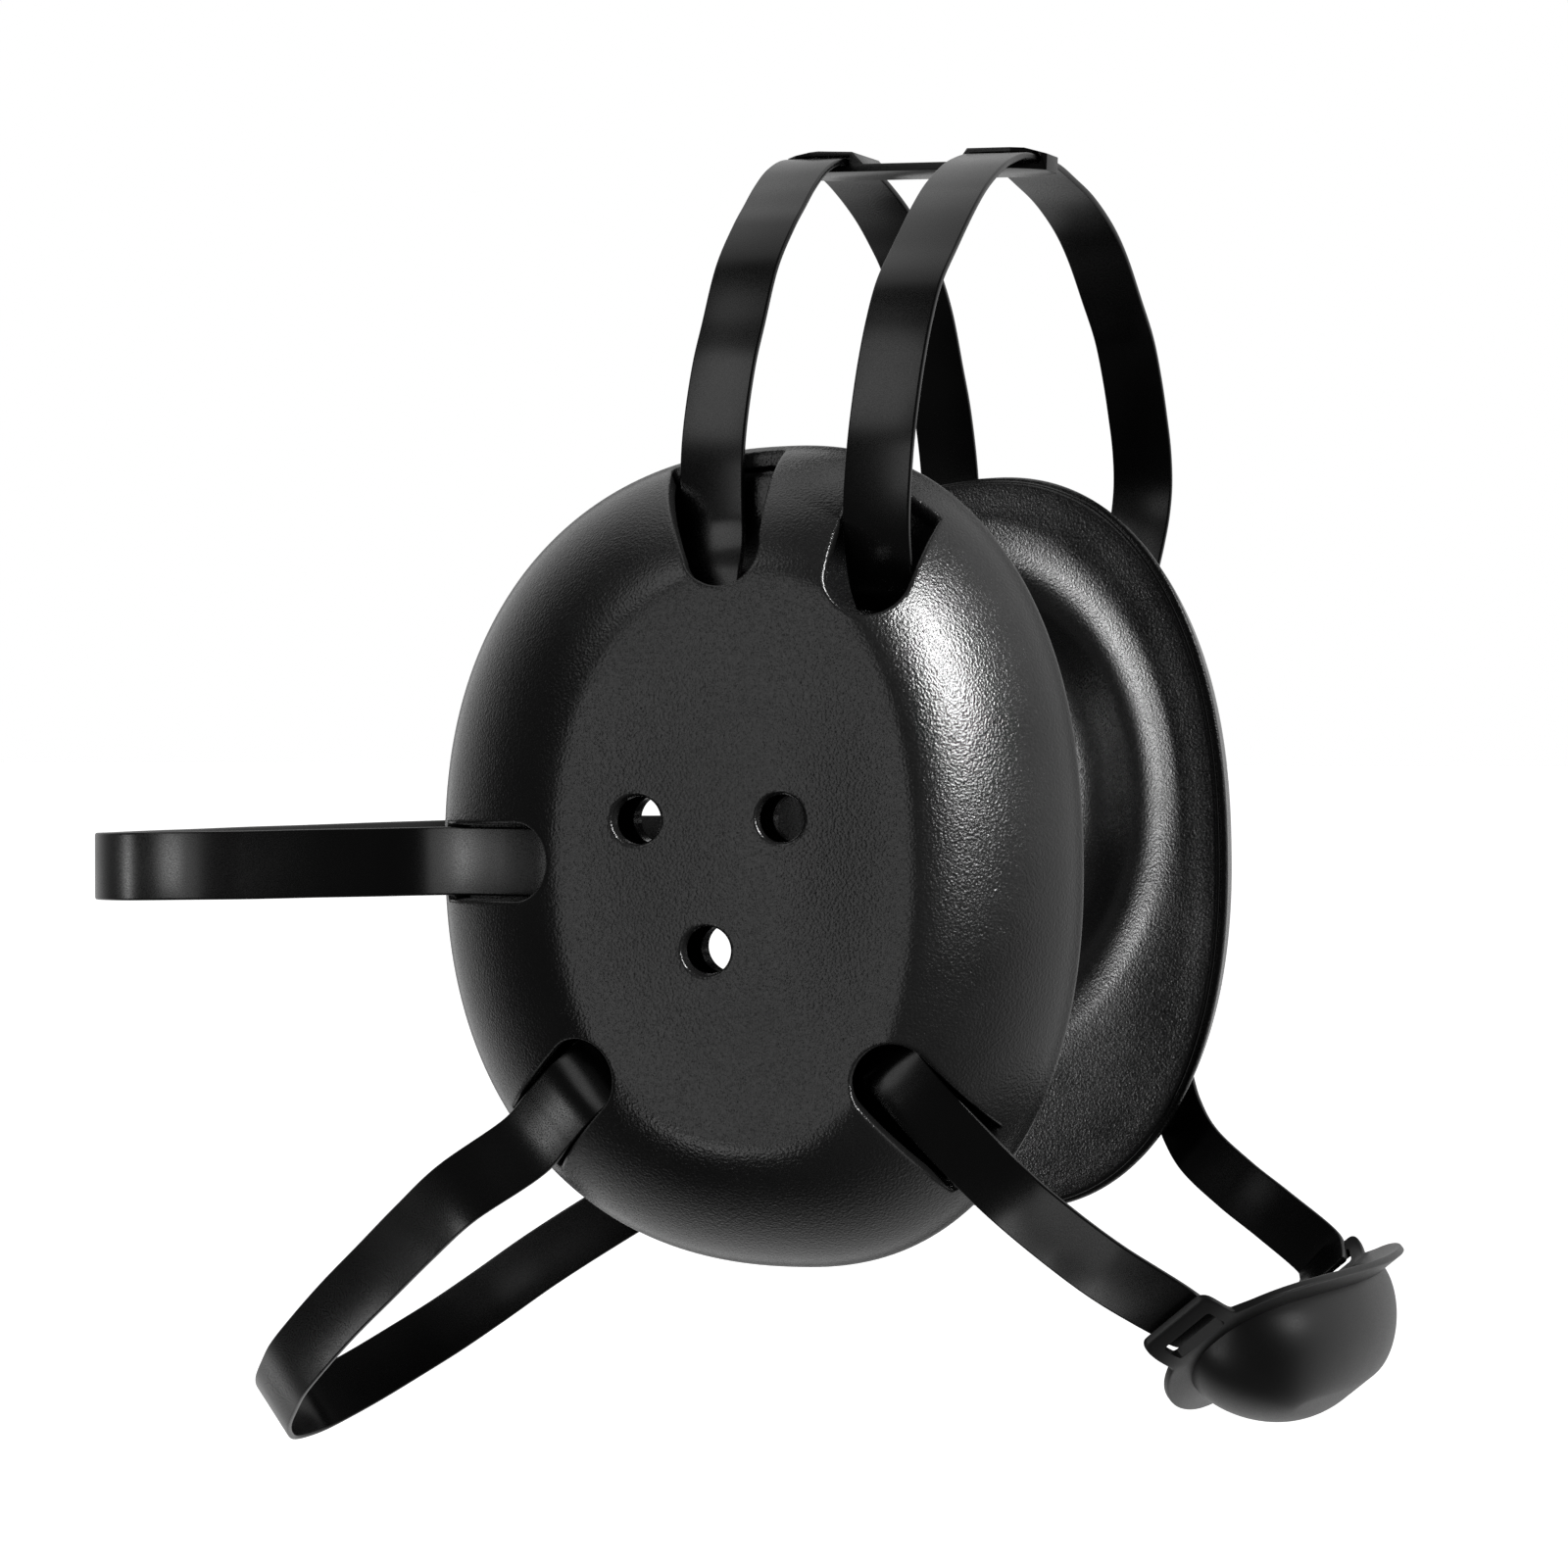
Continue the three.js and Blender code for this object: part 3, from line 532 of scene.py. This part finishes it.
padBack = -pad["proud"]
padFloor = padBack + pad["depth"]
padRings = np.stack([
    pocketRing(-pad["width"] * 0.46, padFloor + pad["skin"]),
    pocketRing(-pad["width"] * 0.33, padFloor + pad["skin"]),
    pocketRing(-pad["width"] * 0.22, padFloor + pad["skin"] - 0.2),
    pocketRing(-9.5, padFloor + 0.9),
    pocketRing(-6.0, padFloor - 1.5),
    pocketRing(-2.2, padBack + 5.6),
    pocketRing(0.4, padBack + 3.8),
    pocketRing(pad["wall"], padBack + pad["flange"]),
    padRing(3.0, padBack + pad["flange"]),
    padRing(0.8, padBack + pad["flange"] - 0.2),
    padRing(0.1, padBack + pad["flange"] * 0.6),
    padRing(0.1, -cup["rimBack"] - 0.12),
    padRing(-1.0, -cup["rimBack"] - 0.14),
    padRing(-1.9, -cup["rimBack"] - 0.2),
    padRing(-2.25, padBack - pad["cover"] + 0.4),
    padRing(-1.95, padBack - pad["cover"] + 0.1),
    padRing(-0.9, padBack - pad["cover"]),
    padRing(2.5, padBack - pad["cover"] + 0.02),
    pocketRing(6.5, padBack - pad["cover"] + 0.12),
    pocketRing(3.5, padBack + 0.05),
    pocketRing(0.4, padBack + 0.9),
    pocketRing(-2.8, padBack + 2.5),
    pocketRing(-6.0, padBack + 4.8),
    pocketRing(-9.5, padBack + 7.2),
    pocketRing(-14.0, padFloor - 1.8),
    pocketRing(-19.5, padFloor - 0.6),
    pocketRing(-25.0, padFloor - 0.08),
    pocketRing(-30.0, padFloor),
])
padRows = spline(padRings.reshape(len(padRings), -1), np.linspace(0, 1, pad["rows"]))
padPoints, padFaces = closedSkin(padRows.reshape(pad["rows"], -1, 3))


def boreHoles(points, faces, name):
    # cut the three hearing holes right through
    mesh = bpy.data.meshes.new(name)
    mesh.from_pydata(points.tolist(), [], faces)
    body = bpy.data.objects.new(name, mesh)
    bpy.context.scene.collection.objects.link(body)
    turns = np.linspace(0, 2 * math.pi, holes["points"], endpoint=False)
    for spot in holes["spots"]:
        rows = np.stack([np.stack([
            holes["middle"] + spot[0] * holes["reach"] + holes["radius"] * np.cos(turns),
            spot[1] * holes["reach"] + holes["radius"] * np.sin(turns),
            np.full_like(turns, level)], -1) for level in holes["levels"]])
        cutWith(body, *closedSkin(rows))
    points = np.empty(len(body.data.vertices) * 3)
    body.data.vertices.foreach_get("co", points)
    faces = [list(face.vertices) for face in body.data.polygons]
    bpy.data.objects.remove(body)
    return points.reshape(-1, 3), faces


padPoints, padFaces = boreHoles(padPoints, padFaces, "padStart")
padPoints = inCup(padPoints)
for name, shape, node in (("padRight", (padPoints, padFaces), "ear_pad_right"),
                          ("padLeft", mirrored(padPoints, padFaces), "ear_pad_left")):
    addPiece(name, *shape, padLeather, "ear_pad", node, 45)
print("pads done")


# Straps: a rounded rectangle carried along a smooth path
strap = dict(width=10.2, chinWidth=9.2, thick=1.0, corner=0.34, cornerPoints=5, stations=300)


def ribbon(path, widths, width):
    # at each station the profile stands square to the path, its width turned to the given direction
    shares = np.linspace(0, 1, strap["stations"])
    centre = spline(path, shares)
    along = unit(np.gradient(centre, axis=0))
    side = spline(widths, shares)
    side = unit(side - (side * along).sum(-1, keepdims=True) * along)
    out = np.cross(along, side)
    profile = roundedBox(width / 2, strap["thick"] / 2, strap["corner"], strap["cornerPoints"])
    rows = centre[:, None] + side[:, None] * profile[None, :, :1] + out[:, None] * profile[None, :, 1:]
    return closedSkin(rows)


def bothHalves(half):
    # a path from the middle to the right side, carried on as its mirror image on the left
    half = np.asarray(half, float)
    return np.vstack([half[::-1], half[1:] * np.array([1, -1, 1])])


def slotSpot(slot, along, height):
    # point in a slot of the right cup, by its way along the slot and its height above the rim
    heading = slotHeading(slot)
    spot = np.array([slot["u"], slot["v"]]) * cup["half"] + heading * along * cup["half"]
    return inCup(np.array([spot[0], spot[1], height * cup["depth"]]))


def slotAcross(slot):
    # direction across a slot
    heading = slotHeading(slot)
    return -heading[1] * cupForward + heading[0] * cupUp


# crown paths from the middle down into the slot: share of half the spread out, share of the way up from the
# slot, and share of the half height forward
crown = dict(lift=106.4, tilt=2.3, front=(
    (0, 0.9907, 0.3056), (0.1675, 0.9892, 0.3056), (0.3272, 0.9675, 0.3107), (0.4842, 0.9367, 0.321),
    (0.6727, 0.881, 0.3296), (0.8062, 0.8239, 0.333), (0.9816, 0.7281, 0.333), (1.1308, 0.6401, 0.333),
    (1.2224, 0.552, 0.333), (1.2904, 0.464, 0.333), (1.3428, 0.3775, 0.333), (1.3716, 0.2941, 0.3296),
    (1.3716, 0.223, 0.3227), (1.355, 0.1612, 0.3141), (1.325, 0.1, 0.3056), (1.28, 0.04, 0.2987),
    (1.22, -0.015, 0.292), (1.14, -0.06, 0.286),
), rear=(
    (0, 1.0099, -0.2094), (0.1675, 1.005, -0.2094), (0.3272, 0.9701, -0.2043), (0.479, 0.9154, -0.194),
    (0.5994, 0.8574, -0.1871), (0.7015, 0.8027, -0.1837), (0.8481, 0.6966, -0.1837),
    (0.9711, 0.549, -0.1837), (1.047, 0.4528, -0.1837), (1.1203, 0.3119, -0.1837),
    (1.1465, 0.2157, -0.1837), (1.1465, 0.1162, -0.1837), (1.155, 0.065, -0.18), (1.185, 0.012, -0.172),
    (1.235, -0.045, -0.165), (1.27, -0.1, -0.16),
))
level = np.array([math.cos(math.radians(crown["tilt"])), 0, -math.sin(math.radians(crown["tilt"]))])
for name in ("Front", "Rear"):
    low = slots["crown" + name]["v"] * cup["half"]
    path = bothHalves([(fore * cup["half"], -out * cup["spread"] / 2, low + up * (crown["lift"] - low))
                       for out, up, fore in crown[name.lower()]])
    addPiece("crown" + name, *ribbon(path, np.tile(level, (len(path), 1)), strap["width"]), strapRubber,
             "strap", "crown_strap_" + name.lower())

# back path as shares of its reach: rearward, out to the side, and down
back = dict(reach=120.6, path=(
    (1, 0, 0.022), (0.992, 0.14, 0.022), (0.967, 0.29, 0.021), (0.93, 0.43, 0.02), (0.875, 0.535, 0.018),
    (0.8, 0.582, 0.016), (0.72, 0.583, 0.014), (0.647, 0.554, 0.013), (0.566, 0.514, 0.011),
    (0.506, 0.478, 0.01), (0.46, 0.449, 0.009), (0.415, 0.437, 0.008), (0.35, 0.434, 0.008),
    (0.3, 0.437, 0.008), (0.272, 0.442, 0.008),
))
path = bothHalves(-np.array(back["path"]) * back["reach"])
addPiece("backLoop", *ribbon(path, np.tile([0.0, 0, 1], (len(path), 1)), strap["width"]), strapRubber,
         "strap", "back_strap")

# nape path as shares of its reach in a plane that slopes down to the rear: along, out and off the plane;
# then its ends in the slots, by way along the slot and height
nape = dict(reach=147.0, slope=38.3, offset=5.8, path=(
    (1, 0, 0), (0.996, 0.032, 0), (0.98, 0.063, 0), (0.952, 0.1, 0), (0.912, 0.137, 0), (0.871, 0.17, 0),
    (0.818, 0.197, 0), (0.746, 0.226, 0), (0.66, 0.263, 0.004), (0.573, 0.307, 0.01), (0.484, 0.35, 0.018),
), inside=((0.275, 0.32), (0.16, 0.5), (0.05, 0.66), (-0.02, 0.63), (-0.07, 0.45)))
slope = math.radians(nape["slope"])
downRear = np.array([-math.cos(slope), 0, -math.sin(slope)])
offRear = np.array([math.sin(slope), 0, -math.cos(slope)])
half = [np.array([0, -out * nape["reach"], 0]) + downRear * along * nape["reach"]
        + offRear * (nape["offset"] + lift * nape["reach"]) for along, out, lift in nape["path"]]
widths = [offRear] * len(half)
across = slotAcross(slots["nape"])
across = across if across @ offRear > 0 else -across
for along, height in nape["inside"]:
    half.append(slotSpot(slots["nape"], along, height))
    widths.append(across)
addPiece("napeLoop", *ribbon(bothHalves(half), bothHalves(widths), strap["width"]), strapRubber,
         "strap", "nape_strap")

chin = dict(
    forward=64.0, drop=71.5, tilt=40.0, width=59.8, height=28.6, depth=11.3, round=11.2, power=1.62,
    shoulder=0.5, edge=1.1, oval=2.19, flange=3.6, wall=1.8, wrap=6.2, reach=36.5, lift=2.8,
    tabHeight=13.0, tabDrop=1.0, tabCorner=1.6, slotCorner=0.5, slotIn=0.25, behind=0.75, pathReach=60.0,
    path=((0.575, 0.66, 0.813), (0.687, 0.64, 0.902), (0.8, 0.628, 0.978)),
    inside=((0.2667, 0.34), (0.15, 0.52), (0.03, 0.66), (-0.05, 0.66), (-0.09, 0.5)),
    cols=720, bowlRows=44, innerRows=36,
)
tilt = math.radians(chin["tilt"])
chinUp = np.array([math.cos(tilt), 0, math.sin(tilt)])
chinOut = np.array([math.sin(tilt), 0, -math.cos(tilt)])
chinMiddle = np.array([chin["forward"], 0, -chin["drop"]])


def chinPoint(along, across, out):
    # the cup wraps back with the square of the way across, and its tabs bend back a little more
    wrap = chin["wrap"] * (across / chin["reach"]) ** 2
    past = np.maximum(0, np.abs(across) - chin["width"] / 2) / (chin["reach"] - chin["width"] / 2)
    return (chinMiddle + np.asarray(along)[..., None] * chinUp
            + np.asarray(out - wrap - chin["lift"] * past ** 2)[..., None] * chinOut
            + np.asarray(across)[..., None] * np.array([0, 1.0, 0]))


def behindTab(past):
    # point of the strap's path behind a tab, from the bowl (0) to the tab's end (1)
    across = -(chin["width"] / 2 + (chin["reach"] - chin["width"] / 2) * past)
    here = chinPoint(-chin["tabDrop"], across, 0.0)
    tangent = unit(chinPoint(-chin["tabDrop"], across + 0.01, 0.0) - here)
    normal = np.cross(chinUp, tangent)
    normal = -normal if normal @ chinOut > 0 else normal
    return here + normal * (chin["wall"] * abs(normal @ chinOut) + strap["thick"] / 2 + chin["behind"])


half = [np.array([a, -b, -c]) * chin["pathReach"] for a, b, c in chin["path"]]
widths = [np.array([0.6, 0, 0.8])] * len(half)
for past in (1, 0.75, 0.52, 0.28, 0.08):
    half.append(behindTab(past))
    widths.append(chinUp)
across = slotAcross(slots["chin"])
across = -across if across[2] < 0 else across
for along, height in chin["inside"]:
    half.insert(0, slotSpot(slots["chin"], along, height))
    widths.insert(0, across)
chinRibbon = ribbon(np.array(half), np.array(widths), strap["chinWidth"])
addPiece("chinStrapRight", *chinRibbon, strapRubber, "strap", "chin_strap_right")
addPiece("chinStrapLeft", *mirrored(*chinRibbon), strapRubber, "strap", "chin_strap_left")
print("straps done")


# Chin cup: rows of points over the bowl, round the flange and back inside the bowl
chinTurns = np.linspace(0, 2 * math.pi, chin["cols"], endpoint=False)


def chinOutline(grow):
    # superellipse of the bowl's mouth, grown by a margin
    side = chin["width"] / 2 + grow
    return oval(chinTurns, side, side, chin["height"] / 2 + grow, chin["oval"])


def tabbed(grow):
    # the flange's edge, pushed out along each ray to the round-cornered tab where that reaches further
    across, along = chinOutline(chin["flange"] + grow)
    direction = unit(np.stack([across, along], -1))
    base = np.hypot(across, along)
    radius = chin["tabCorner"]
    halfTab = chin["tabHeight"] / 2 + grow
    low, high = base.copy(), np.full_like(base, chin["reach"] * 1.2)

    def outside(reach):
        x = np.abs(reach * direction[:, 0])
        y = np.abs(reach * direction[:, 1] + chin["tabDrop"])
        qx, qy = x - (chin["reach"] + grow - radius), y - (halfTab - radius)
        return np.hypot(np.maximum(qx, 0), np.maximum(qy, 0)) + np.minimum(np.maximum(qx, qy), 0) - radius

    start = outside(base) < 0
    for _ in range(30):
        middle = (low + high) / 2
        inside = outside(middle) < 0
        low, high = np.where(inside, middle, low), np.where(inside, high, middle)
    reach = np.where(start, low, base)
    reach = np.convolve(np.concatenate([reach[-2:], reach, reach[:2]]), [0.1, 0.2, 0.4, 0.2, 0.1], "valid")
    return reach * direction[:, 0], reach * direction[:, 1]


def bowlRows(wall, rows):
    # the first 0.35 of the rows run over the flat middle, the rest down a superellipse to the mouth
    turnIn = chin["round"] - wall * 0.6
    made = []
    for share in np.linspace(0, 1, rows):
        if share < 0.35:
            rise, shrink = 1.0, share / 0.35
        else:
            rise, shrink = math.sin((1 - (share - 0.35) / 0.65) * math.pi / 2), 1.0
        inset = -wall - turnIn * (1 - max(0, 1 - rise ** chin["power"]) ** (1 / chin["power"]))
        inset -= chin["shoulder"] * (1 - rise)
        across, along = chinOutline(inset)
        out = np.full_like(along, rise * chin["depth"] - wall)
        made.append(chinPoint(along * shrink, across * shrink, out))
    return made[1:]


def flangeRow(share, out, grow=0.0):
    # between the mouth of the bowl and the tabbed edge
    a, b = chinOutline(-chin["shoulder"] if out >= -0.2 else -chin["wall"])
    c, d = tabbed(grow)
    return chinPoint(b + (d - b) * share, a + (c - a) * share, np.full_like(a, out))


chinRows = bowlRows(0.0, chin["bowlRows"])
chinRows += [flangeRow(share, 0.0, -0.25) for share in (0.02, 0.06, 0.3, 0.6, 0.85, 0.97, 1.0)]
chinRows += [flangeRow(1.0, out, grow) for out, grow in ((-0.04, -0.12), (-0.14, -0.03), (-0.3, 0.0),
             (-chin["edge"] + 0.3, 0.0), (-chin["edge"] + 0.14, -0.03), (-chin["edge"] + 0.04, -0.12))]
chinRows += [flangeRow(share, -chin["wall"] + (chin["wall"] - chin["edge"]) * share, -0.25)
             for share in (1.0, 0.9, 0.6, 0.3, 0.05)]
chinRows += bowlRows(chin["wall"], chin["innerRows"])[::-1]
chinPoints, chinFaces = closedSkin(np.stack(chinRows))
cupPiece = addPiece("chinCup", chinPoints, chinFaces, chinRubber, "chin_cup", "chin_cup")
for hand in (-1, 1):
    near, far = chin["width"] / 2 + chin["flange"] * 0.5, chin["reach"] - chin["wall"] * 0.9
    half = strap["chinWidth"] / 2 - chin["slotIn"]
    ring = roundedBox((far - near) / 2, half, chin["slotCorner"], 6) + [(far + near) / 2, -chin["tabDrop"]]
    rows = np.stack([chinPoint(ring[:, 1], ring[:, 0] * hand, np.full(len(ring), out))
                     for out in (-6.0, 6.0)])
    toolPoints, toolFaces = closedSkin(rows)
    cutWith(cupPiece, (toolPoints - seat) * 0.001, toolFaces)
cupPiece.data.shade_smooth()
cupPiece.data.set_sharp_from_angle(angle=math.radians(38))
print("chin cup done:", len(cupPiece.data.polygons), "faces")


# Crown bridge: the CAD solid with its corners bevelled
shape = bmesh.new()
shape.from_mesh(bpy.data.objects["crown_bridge"].data)
bmesh.ops.remove_doubles(shape, verts=shape.verts, dist=1e-6)
bmesh.ops.dissolve_limit(shape, angle_limit=math.radians(1), verts=shape.verts, edges=shape.edges)
corners = [edge for edge in shape.edges
           if edge.is_manifold and edge.calc_face_angle(0) > math.radians(12)]
bmesh.ops.bevel(shape, geom=corners, offset=0.00012, offset_type="OFFSET", segments=2, profile=0.6,
                affect="EDGES", clamp_overlap=True)
bmesh.ops.triangulate(shape, faces=shape.faces)
bridgeMesh = bpy.data.meshes.new("bridgeBar")
shape.to_mesh(bridgeMesh)
shape.free()
bridgeMesh.shade_smooth()
bridgeMesh.set_sharp_from_angle(angle=math.radians(28))
bridgeMesh.materials.clear()
bridgeMesh.materials.append(bridgePlastic)
bridge = bpy.data.objects.new("bridgeBar", bridgeMesh)
bpy.context.scene.collection.objects.link(bridge)
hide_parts("crown_bridge")
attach(bridge, "root")
print("bridge done")


# Floor, world and lights
bpy.context.scene.view_settings.view_transform = "Standard"
floorMesh = bpy.data.meshes.new("floor")
low = cadBox[0][2] - 0.09
floorMesh.from_pydata([(x, y, low) for x, y in ((-30, -30), (30, -30), (30, 30), (-30, 30))], [],
                      [(0, 1, 2, 3)])
floor = bpy.data.objects.new("floor", floorMesh)
bpy.context.scene.collection.objects.link(floor)
floorPaint = bpy.data.materials.new("floorPaint")
floorPaint.use_nodes = True
paintInputs = floorPaint.node_tree.nodes["Principled BSDF"].inputs
for key, value in (("Base Color", (0.9, 0.9, 0.9, 1)), ("Roughness", 0.9), ("Specular IOR Level", 0.1),
                   ("Emission Color", (1, 1, 1, 1)), ("Emission Strength", 0.9)):
    paintInputs[key].default_value = value
floorMesh.materials.append(floorPaint)
# the floor neither reflects in the object nor blocks the box below the front
floor.visible_glossy = False
floor.visible_diffuse = False
floor.visible_shadow = False

world = bpy.data.worlds.new("studio")
bpy.context.scene.world = world
world.use_nodes = True
tree = world.node_tree
tree.nodes.clear()
shown = addNode(tree, "ShaderNodeBackground", {"Color": (1, 1, 1, 1), "Strength": 1.0})
# the light comes mostly from the pale backdrop beyond the object; the room on the camera's side is dim
direction = addNode(tree, "ShaderNodeTexCoord").outputs["Generated"]
facing = addNode(tree, "ShaderNodeSeparateXYZ", {"Vector": direction})
glow = addNode(tree, "ShaderNodeMapRange", {"Value": facing.outputs["Y"], "From Min": -0.1, "From Max": 0.6,
                                            "To Min": 0.06, "To Max": 0.7},
               interpolation_type="SMOOTHSTEP")
dim = addNode(tree, "ShaderNodeBackground", {"Color": (1, 1, 1, 1), "Strength": glow.outputs[0]})
rays = addNode(tree, "ShaderNodeLightPath")
mixed = addNode(tree, "ShaderNodeMixShader", {0: rays.outputs["Is Camera Ray"], 1: dim.outputs[0],
                                              2: shown.outputs[0]})
addNode(tree, "ShaderNodeOutputWorld", {"Surface": mixed.outputs[0]})

# soft boxes round the object: heading and height in degrees, width and height in metres, power in watts,
# and the pieces that a box lights where it isn't for all
target, boxWay = Vector((-0.02, 0, -0.1)), 1.6
boxes = (
    ("frontBox", -96, -1, 0.6, 0.9, 2.2, ()),
    ("strapFront", -110, 0, 0.3, 0.5, 3.0, ("backLoop",)),
    ("upperLeft", -118, 38, 0.8, 0.8, 3.0, ()),
    ("narrowLeft", -149, -7, 0.22, 0.5, 12.0, ("padLeft",)),
    ("strapLeft", -151, -2, 0.25, 0.5, 2.6, ("backLoop",)),
    ("lowLeft", -158, -35, 0.2, 0.2, 0.6, ("napeLoop",)),
    ("lowFront", -104, -32, 0.6, 0.5, 2.4, ("chinCup", "chinStrapRight", "shellRight")),
    ("rightStrip", -13, 30, 0.24, 0.9, 54.0, ("shellRight", "padRight")),
    ("rightLower", -18, 11, 0.1, 0.3, 1.6, ("shellRight",)),
    ("rightSide", 20, 30, 0.5, 0.8, 6.0, ("shellLeft",)),
    ("rightLow", 4, 12, 0.3, 0.4, 3.0, ("chinCup", "chinStrapRight", "chinStrapLeft")),
    ("topSoft", 160, 70, 1.0, 1.0, 1.6, ()),
)
for name, heading, rise, width, tall, power, lit in boxes:
    data = bpy.data.lights.new(name, "AREA")
    data.shape = "RECTANGLE"
    data.size, data.size_y = width, tall
    data.energy = power
    lamp = bpy.data.objects.new(name, data)
    a, b = math.radians(heading), math.radians(rise)
    toward = Vector((math.cos(b) * math.cos(a), math.cos(b) * math.sin(a), math.sin(b)))
    lamp.location = target + boxWay * toward
    lamp.rotation_euler = (target - lamp.location).to_track_quat("-Z", "Y").to_euler()
    bpy.context.scene.collection.objects.link(lamp)
    if lit:
        group = bpy.data.collections.new(name + "Lit")
        for piece in lit:
            group.objects.link(bpy.data.objects[piece])
        lamp.light_linking.receiver_collection = group
